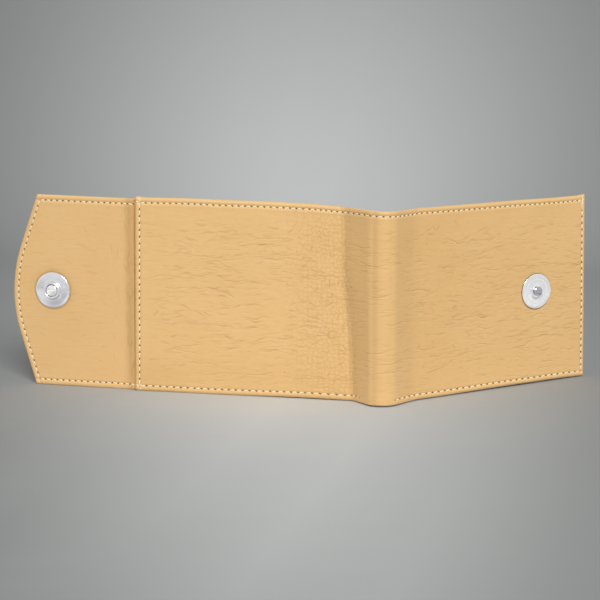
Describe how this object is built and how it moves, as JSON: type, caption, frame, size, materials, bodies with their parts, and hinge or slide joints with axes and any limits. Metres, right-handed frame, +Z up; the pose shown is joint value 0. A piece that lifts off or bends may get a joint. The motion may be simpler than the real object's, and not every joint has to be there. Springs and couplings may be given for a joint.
{
  "type": "bifold wallet",
  "caption": "Leather bifold wallet with a soft spine ridge, card pockets in both halves and a snap flap that wraps round the closed edges.",
  "frame": {"origin": "bottom centre of the open wallet's box, on the surface that it stands on", "axes": "+X along the back panel from the flap to the spine, +Y from the outer face of the back panel to its inner face, +Z up"},
  "size_m": [0.276, 0.0942, 0.094],
  "materials": {
    "outer_leather": "creased tan leather, satin",
    "flap_leather": "smooth tan leather, satin",
    "pocket_leather": "smooth tan leather, satin",
    "lining_fabric": "woven brown lining",
    "card_board": "pressed paper board, matt",
    "thread": "cream twisted thread",
    "nickel": "bright nickel plate",
    "spring_steel": "plain spring steel"
  },
  "bodies": {
    "back_panel": {"back_cover": "outer_leather", "back_board": "card_board", "back_lining": "lining_fabric", "back_divider": "pocket_leather", "back_upper_card_pocket": "pocket_leather", "back_lower_card_pocket": "pocket_leather", "back_seam_thread": "thread", "flap_sewn_tail": "flap_leather"},
    "spine_back_wing": {"spine_back_wing_leather": "outer_leather", "spine_back_wing_lining": "lining_fabric"},
    "spine_ridge": {"spine_ridge_leather": "outer_leather", "spine_ridge_lining": "lining_fabric"},
    "spine_front_wing": {"spine_front_wing_leather": "outer_leather", "spine_front_wing_lining": "lining_fabric"},
    "front_panel": {"front_cover": "outer_leather", "front_board": "card_board", "front_lining": "lining_fabric", "front_divider": "pocket_leather", "front_upper_card_pocket": "pocket_leather", "front_lower_card_pocket": "pocket_leather", "front_seam_thread": "thread", "stud_plate": "nickel", "stud_post": "nickel", "stud_washer": "nickel"},
    "flap_root": {"flap_root_leather": "flap_leather", "flap_root_lining": "pocket_leather"},
    "flap": {"flap_leather": "flap_leather", "flap_stiffener": "card_board", "flap_lining": "pocket_leather", "flap_seam_thread": "thread", "snap_cap": "nickel", "snap_rivet": "nickel", "snap_socket": "nickel", "snap_spring": "spring_steel"}
  },
  "joints": [
    {"name": "ridge_back_fold", "type": "hinge", "parent": "spine_ridge", "child": "spine_back_wing", "pos_m": [0.04583, -0.04627, 0.047], "axis": [0, 0, -1], "range_deg": [-14.23, 42.69]},
    {"name": "spine_back_fold", "type": "hinge", "parent": "spine_back_wing", "child": "back_panel", "pos_m": [0.03243, -0.03581, 0.047], "axis": [0, 0, -1], "range_deg": [-16, 47]},
    {"name": "ridge_front_fold", "type": "hinge", "parent": "spine_ridge", "child": "spine_front_wing", "pos_m": [0.05505, -0.04448, 0.047], "axis": [0, 0, 1], "range_deg": [-18, 53]},
    {"name": "spine_front_fold", "type": "hinge", "parent": "spine_front_wing", "child": "front_panel", "pos_m": [0.06303, -0.02947, 0.047], "axis": [0, 0, 1], "range_deg": [-7, 20]},
    {"name": "flap_root_fold", "type": "hinge", "parent": "back_panel", "child": "flap_root", "pos_m": [-0.07497, -0.03363, 0.047], "axis": [0, 0, -1], "range_deg": [-20, 89]},
    {"name": "flap_fold", "type": "hinge", "parent": "flap_root", "child": "flap", "pos_m": [-0.08514, -0.03345, 0.047], "axis": [0, 0, -1], "range_deg": [-22, 92]}
  ],
  "couplings": [
    {"joint": "spine_back_fold", "follows": "ridge_back_fold", "ratio": 0.85075},
    {"joint": "ridge_front_fold", "follows": "ridge_back_fold", "ratio": 0.95315},
    {"joint": "spine_front_fold", "follows": "ridge_back_fold", "ratio": 0.35878},
    {"joint": "flap_fold", "follows": "flap_root_fold", "ratio": 1}
  ]
}
